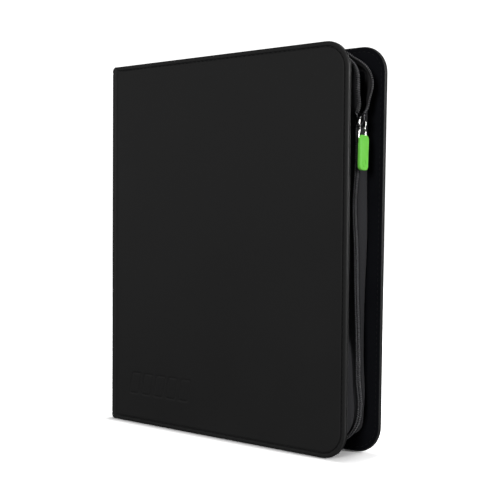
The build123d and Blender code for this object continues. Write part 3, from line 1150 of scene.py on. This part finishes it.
def pull_bail():
    """Wire loop with a round head, a waist below it and two legs held in the tab."""
    half, head = 4.75, 4.2
    waist_z, waist_depth, waist_width = -9.2, 1.25, 1.5
    turn = np.linspace(0, math.pi, 25)
    arch = side_by_side(0.0, half * np.cos(turn), -head + head * np.sin(turn))
    leg_z = np.linspace(BAIL_LOW[2] - SLIDER_SAG - BAIL_TOP, -head, 30)[:-1]
    right = side_by_side(0.0, half - waist_depth * bump_at(leg_z, waist_z, waist_width), leg_z)
    left = right[::-1] * np.array([1, -1, 1])
    points, faces = tube(np.concatenate([right, arch, left]), BAIL_WIRE, 12, ALONG_X)
    looks = {"material": "bail_nickel", "sharp": 60}
    add_piece("pull_bail_look", "slider_metal", "zip_pull", "pull_bail", pull_points(points), faces, **looks)


def pull_tab():
    """Moulded silicone tab with rounded rims, a shallow field and a moulded ring on both faces."""
    half_width = (TAB_HIGH[1] - TAB_LOW[1]) / 2 + 0.2
    top = TAB_HIGH[2] - SLIDER_SAG - BAIL_TOP
    bottom = TAB_LOW[2] - SLIDER_SAG - BAIL_TOP + 1.5
    middle, half_length = (top + bottom) / 2, (top - bottom) / 2

    def outline(inset):
        """Rounded oblong in y and z, a little wider at the top."""
        radius = TAB_CORNER - min(inset, 2.0)
        corners = []
        for sy, sz, start in ((1, 1, 0), (-1, 1, 1), (-1, -1, 2), (1, -1, 3)):
            angle = np.linspace(0, math.pi / 2, 9) + start * math.pi / 2
            y = sy * (half_width - inset - radius) + radius * np.cos(angle)
            z = sz * (half_length - inset - radius) + radius * np.sin(angle)
            corners.append(side_by_side(y, z))
        ring = np.concatenate(corners)
        ring[:, 0] *= 1 + 0.035 * ring[:, 1] / half_length
        return ring

    side = ((1.9, TAB_FACE), (1.55, 1.25), (1.15, 1.42), (0.8, 1.5), (0.45, 1.4), (0.16, 1.12), (0.0, 0.65))
    profile = side + tuple((inset, -height) for inset, height in side[::-1])
    points, faces = ring_solid(outline, profile)
    parts = Parts()
    parts.add(points[:, [2, 0, 1]] + np.array([0, 0, middle]), flipped(faces))
    turn = np.linspace(0, 2 * math.pi, 25)
    ring_z = bottom + 6.2
    for level in (1.0, -1.0):
        ring = side_by_side(TAB_FACE * level, 2.1 * np.cos(turn), ring_z + 2.9 * np.sin(turn))
        parts.add(*tube(ring, 0.28, 6, ALONG_X))
    points = pull_points(parts.all_points() + TAB_SHIFT)
    add_piece("pull_tab_look", "green_silicone", "zip_pull", "pull_tab", points, parts.faces, sharp=60)


# ---------------------------------------------------------------- leaves


def pocket_lines(low, high):
    """Positions across three pockets, close together beside the welds."""
    pitch = (high - low) / POCKETS
    out = []
    for i in range(POCKETS):
        start = low + i * pitch
        out.extend([start, start + WELD / 2])
        out.extend(np.linspace(start + WELD, start + pitch - WELD, 8))
        out.append(start + pitch - WELD / 2)
    return np.array(out + [high])


def from_pocket_middle(values, low, high):
    """How far each value lies from its pocket's middle (0) to the weld (1), and how welded it is there."""
    pitch = (high - low) / POCKETS
    share = np.abs(np.mod((values - low) / pitch, 1.0) - 0.5) * 2
    return share, smooth(share, 1 - 2 * WELD / pitch, 1 - WELD / pitch)


def grid_rim(columns, rows):
    """Grid points round the outside of a grid."""
    bottom = list(range(columns))
    right = [row * columns + columns - 1 for row in range(1, rows)]
    top = [(rows - 1) * columns + column for column in range(columns - 2, -1, -1)]
    left = [row * columns for row in range(rows - 2, 0, -1)]
    return bottom + right + top + left


def film_mesh(low, high, sheet_half):
    """Pocket films of one leaf, welded along lines on both its faces, and how welded each point is."""
    gap, pillow, thickness = 0.06, 0.2, 0.07
    xs, zs = pocket_lines(low[0], high[0]), pocket_lines(low[2], high[2])
    xx, zz = (values.ravel() for values in np.meshgrid(xs, zs))
    ux, weld_x = from_pocket_middle(xx, low[0], high[0])
    uz, weld_z = from_pocket_middle(zz, low[2], high[2])
    welded = np.maximum(weld_x, weld_z)
    lift = sheet_half + gap + pillow * ((1 - ux**6) * (1 - uz**6)) - gap / 2 * welded
    count = len(xx)
    rim = grid_rim(len(xs), len(zs))
    walls = [[a, b, b + count, a + count] for a, b in zip(rim, rim[1:] + rim[:1])]
    films = grid_faces(len(zs), len(xs))
    faces = shifted(films, count) + flipped(films) + walls
    parts = Parts()
    for face in (1.0, -1.0):
        near = side_by_side(xx, face * lift, zz)
        far = near + np.array([0, face * thickness, 0])
        parts.add(np.concatenate([near, far]), flipped(faces) if face > 0 else faces)
    return parts, np.tile(welded, 4)


def leaf_web(page, low, high, y):
    """Root of a leaf, from the binding strip to the sheet."""
    x = np.linspace(low[0] - 1.7, low[0] + 1.2, 9)
    half = 0.14
    section = np.concatenate([side_by_side(x, half), side_by_side(x[::-1], -half)])
    z = np.linspace(low[2] + 0.5, high[2] - 0.5, 12)
    points, faces = sweep(side_by_side(0.0, y, z), ALONG_X, ALONG_Y, section)
    web = add_mesh(f"{page}_web", points, faces, [MATERIALS["page_sheet"]], 60)
    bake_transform(web)


def leaves():
    """Films and root web of every leaf; the sheets are the CAD's own."""
    for index in range(1, LEAF_COUNT + 1):
        page = f"page_{index:02d}"
        sheet_low, sheet_high = box_mm(f"{page}_sheet")
        y = (sheet_low[1] + sheet_high[1]) / 2
        parts, weld = film_mesh(*box_mm(f"{page}_pockets"), (sheet_high[1] - sheet_low[1]) / 2)
        points = parts.all_points() + np.array([0, y, 0])
        looks = {"sharp": 60, "marks": {"weld": weld}}
        add_piece(f"{page}_films", "clear_film", page, f"{page}_pockets", points, parts.faces, **looks)
        dress(f"{page}_sheet", "page_sheet")
        leaf_web(page, sheet_low, sheet_high, y)


# ---------------------------------------------------------------- studio

# In metres and degrees
FLOOR_REACH = 6.0
FLOOR_GAP = 0.0003
HALO = 0.014                    # how far beyond the binder's outline the floor's glow rises to white; the fade paints a soft shadow round the binder
DOME_RADIUS = 7.5
CAMERA_PLACE = (0.60523, -0.71888, 0.20497)
CAMERA_TURNS = (-39.408, 1.99, 0.418)   # yaw, pitch and roll
LENS = 73.19
LAMPS = (                       # name, size, place and power
    ("key", (0.7, 0.9), (0.7, -2.25, 0.75), 26),
    ("left", (0.9, 1.6), (-1.9, -1.5, 0.6), 5),
    ("side", (0.5, 1.2), (2.3, 0.3, 0.7), 31),
    ("behind", (0.5, 1.8), (0.66, 2.3, 0.75), 22),
    ("top", (1.6, 1.2), (0.3, 0.3, 2.3), 7),
)


def add_lamp(name, size, location, power):
    """Soft area light aimed at the middle of the binder."""
    data = bpy.data.lights.new(name, "AREA")
    data.shape = "RECTANGLE"
    data.size, data.size_y = size
    data.energy = power
    lamp = bpy.data.objects.new(name, data)
    lamp.location = location
    direction = (cad_low + cad_high) / 2 - lamp.location
    lamp.rotation_euler = direction.to_track_quat("-Z", "Y").to_euler()
    bpy.context.scene.collection.objects.link(lamp)


def glow_material(name, strength, diffuse):
    """Pale studio surface: part lit by the lamps and part its own glow, so that it stays near white."""
    return new_material(
        name,
        Base_Color=(*diffuse, 1),
        Roughness=1.0,
        Specular_IOR_Level=0.0,
        Emission_Color=(1, 1, 1, 1),
        Emission_Strength=strength,
    )


def floor_glow_with_painted_shadow(made):
    """Glow of the floor: nothing under the binder, and white from a few millimetres beyond its outline,
    which paints a soft shadow round the binder's foot.
    """
    spot = node(made, "ShaderNodeSeparateXYZ", Vector=place(made))
    half = (cad_high - cad_low) / 2
    squares = []
    for axis, reach in (("X", half.x), ("Y", half.y)):
        beyond = maths(made, "SUBTRACT", maths(made, "ABSOLUTE", spot.outputs[axis]), reach)
        squares.append(maths(made, "POWER", maths(made, "MAXIMUM", beyond, 0.0), 2.0))
    distance = maths(made, "SQRT", maths(made, "ADD", *squares))
    return spread(made, distance, 0.0, HALO, 0.0, 1.0)


def dome(radius):
    """Faceted sphere that stands in for the backdrop all round."""
    rings, spokes = 16, 32
    points = []
    for i in range(rings + 1):
        a = math.pi * i / rings
        for j in range(spokes):
            b = 2 * math.pi * j / spokes
            flat = radius * math.sin(a)
            points.append((flat * math.cos(b), flat * math.sin(b), radius * math.cos(a)))
    return points, grid_faces(rings + 1, spokes, wrap=True)


def add_surface(name, points, faces, material):
    """Studio surface that the camera sees but the binder's shading doesn't."""
    mesh = bpy.data.meshes.new(name)
    mesh.from_pydata(points, [], faces)
    mesh.materials.append(material)
    made = bpy.data.objects.new(name, mesh)
    made.visible_diffuse = False
    made.visible_glossy = False
    bpy.context.scene.collection.objects.link(made)
    return made


def room_light():
    """Even grey light of the room, a little brighter overhead."""
    world = bpy.data.worlds.new("studio")
    world.use_nodes = True
    bpy.context.scene.world = world
    facing = node(world, "ShaderNodeTexCoord").outputs["Generated"]
    upward = node(world, "ShaderNodeSeparateXYZ", Vector=facing).outputs["Z"]
    shade = ramp(world, spread(world, upward, -1.0, 1.0, 0.0, 1.0), (0.07, 0.07, 0.0705), (0.08, 0.08, 0.08))
    dark, light = shade.color_ramp.elements
    dark.position = 0.3
    light.position = 0.75
    background = world.node_tree.nodes["Background"]
    world.node_tree.links.new(shade.outputs["Color"], background.inputs["Color"])
    background.inputs["Strength"].default_value = 1.0


def studio():
    """Pale floor and backdrop, the room's even light and the soft lamps."""
    bpy.context.scene.view_settings.view_transform = "Standard"
    room_light()
    floor_material = glow_material("floor", 0.0, (1.8, 1.8, 1.8))
    # Painted shadow: the floor's glow fades out towards the binder's outline, darkening the floor round its
    # foot; beyond that, the glow keeps the floor white.
    link(floor_material, floor_glow_with_painted_shadow(floor_material), "Emission Strength")
    corners = [(x * FLOOR_REACH, y * FLOOR_REACH, 0) for x, y in ((-1, -1), (1, -1), (1, 1), (-1, 1))]
    floor = add_surface("floor", corners, [(0, 1, 2, 3)], floor_material)
    floor.location.z = cad_low.z - FLOOR_GAP
    backdrop = add_surface("backdrop", *dome(DOME_RADIUS), glow_material("backdrop", 1.2, (0, 0, 0)))
    backdrop.visible_shadow = False
    for lamp in LAMPS:
        add_lamp(*lamp)


def camera():
    """Camera a little above half the binder's height, in front of it and off its fore-edge."""
    yaw, pitch, roll = (math.radians(angle) for angle in CAMERA_TURNS)
    forward = Vector((math.sin(yaw) * math.cos(pitch), math.cos(yaw) * math.cos(pitch), -math.sin(pitch)))
    right = Vector((math.cos(yaw), -math.sin(yaw), 0))
    up = right.cross(forward)
    rolled_right = right * math.cos(roll) + up * math.sin(roll)
    rolled_up = up * math.cos(roll) - right * math.sin(roll)
    data = bpy.data.cameras.new("camera")
    data.sensor_width = 36.0
    data.lens = LENS
    data.clip_start = 0.02
    made = bpy.data.objects.new("camera", data)
    columns = Matrix((rolled_right, rolled_up, -forward)).transposed()
    made.matrix_world = Matrix.Translation(CAMERA_PLACE) @ columns.to_4x4()
    bpy.context.scene.collection.objects.link(made)
    bpy.context.scene.camera = made


def binder():
    """Every piece of the binder."""
    for side in ("front", "back"):
        cover_skin(side)
        cover_lining(side)
        cover_stitching(side)
        crease(side)
        half = ZipHalf(side)
        zip_tape(half)
        zip_coil(half)
        coil_sewing(half)
    back_board()
    spine_wrap()
    spine_stitching()
    end_tabs()
    slider()
    pull_bail()
    pull_tab()
    leaves()
    dress("front_cover_board", "grey_board")
    dress("spine_board", "grey_board")
    dress("spine_lining", "inner_lining")
    dress("page_binding_strip", "inner_lining")


binder()
studio()
camera()
